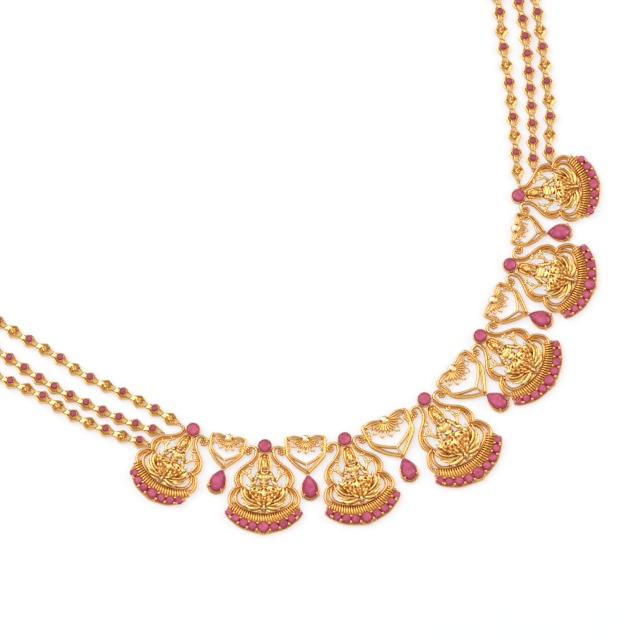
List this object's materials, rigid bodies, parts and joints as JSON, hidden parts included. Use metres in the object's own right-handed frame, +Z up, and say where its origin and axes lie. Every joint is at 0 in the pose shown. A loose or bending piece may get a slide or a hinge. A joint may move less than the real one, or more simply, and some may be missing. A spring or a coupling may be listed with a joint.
{
  "type": "ruby necklace",
  "caption": "Gold necklace of pierced plaques and fan-shaped heart links with ruby stones and pear drops, on strands of diamond-shaped links that end in bars and a box clasp.",
  "frame": {"origin": "on the surface that the necklace lies on, at the middle of its outline", "axes": "+Z up from the surface; +Y from the front plaque to the clasp; +X to the right as seen from above"},
  "size_m": [0.1798, 0.1848, 0.0032],
  "materials": {
    "gold": "polished yellow gold, darker in the recesses",
    "ruby": "faceted pink-red stone"
  },
  "bodies": {
    "root": {"plaque_1": "gold", "plaque_2": "gold", "plaque_3": "gold", "plaque_4": "gold", "plaque_5": "gold", "plaque_6": "gold", "plaque_7": "gold", "crown_stone_1": "ruby", "crown_stone_2": "ruby", "crown_stone_3": "ruby", "crown_stone_4": "ruby", "crown_stone_5": "ruby", "crown_stone_6": "ruby", "crown_stone_7": "ruby", "centre_ruby_1": "ruby", "centre_ruby_2": "ruby", "centre_ruby_3": "ruby", "centre_ruby_4": "ruby", "centre_ruby_5": "ruby", "centre_ruby_6": "ruby", "centre_ruby_7": "ruby", "heart_link_1": "gold", "heart_link_2": "gold", "heart_link_3": "gold", "heart_link_4": "gold", "heart_link_5": "gold", "heart_link_6": "gold", "drop_setting_1": "gold", "drop_setting_2": "gold", "drop_setting_3": "gold", "drop_setting_4": "gold", "drop_setting_5": "gold", "drop_setting_6": "gold", "pear_ruby_1": "ruby", "pear_ruby_2": "ruby", "pear_ruby_3": "ruby", "pear_ruby_4": "ruby", "pear_ruby_5": "ruby", "pear_ruby_6": "ruby", "strand_left_inner": "gold", "strand_left_middle": "gold", "strand_left_outer": "gold", "strand_right_inner": "gold", "strand_right_middle": "gold", "strand_right_outer": "gold", "jump_rings": "gold", "end_bar_left": "gold", "end_bar_right": "gold", "clasp": "gold"}
  },
  "joints": []
}
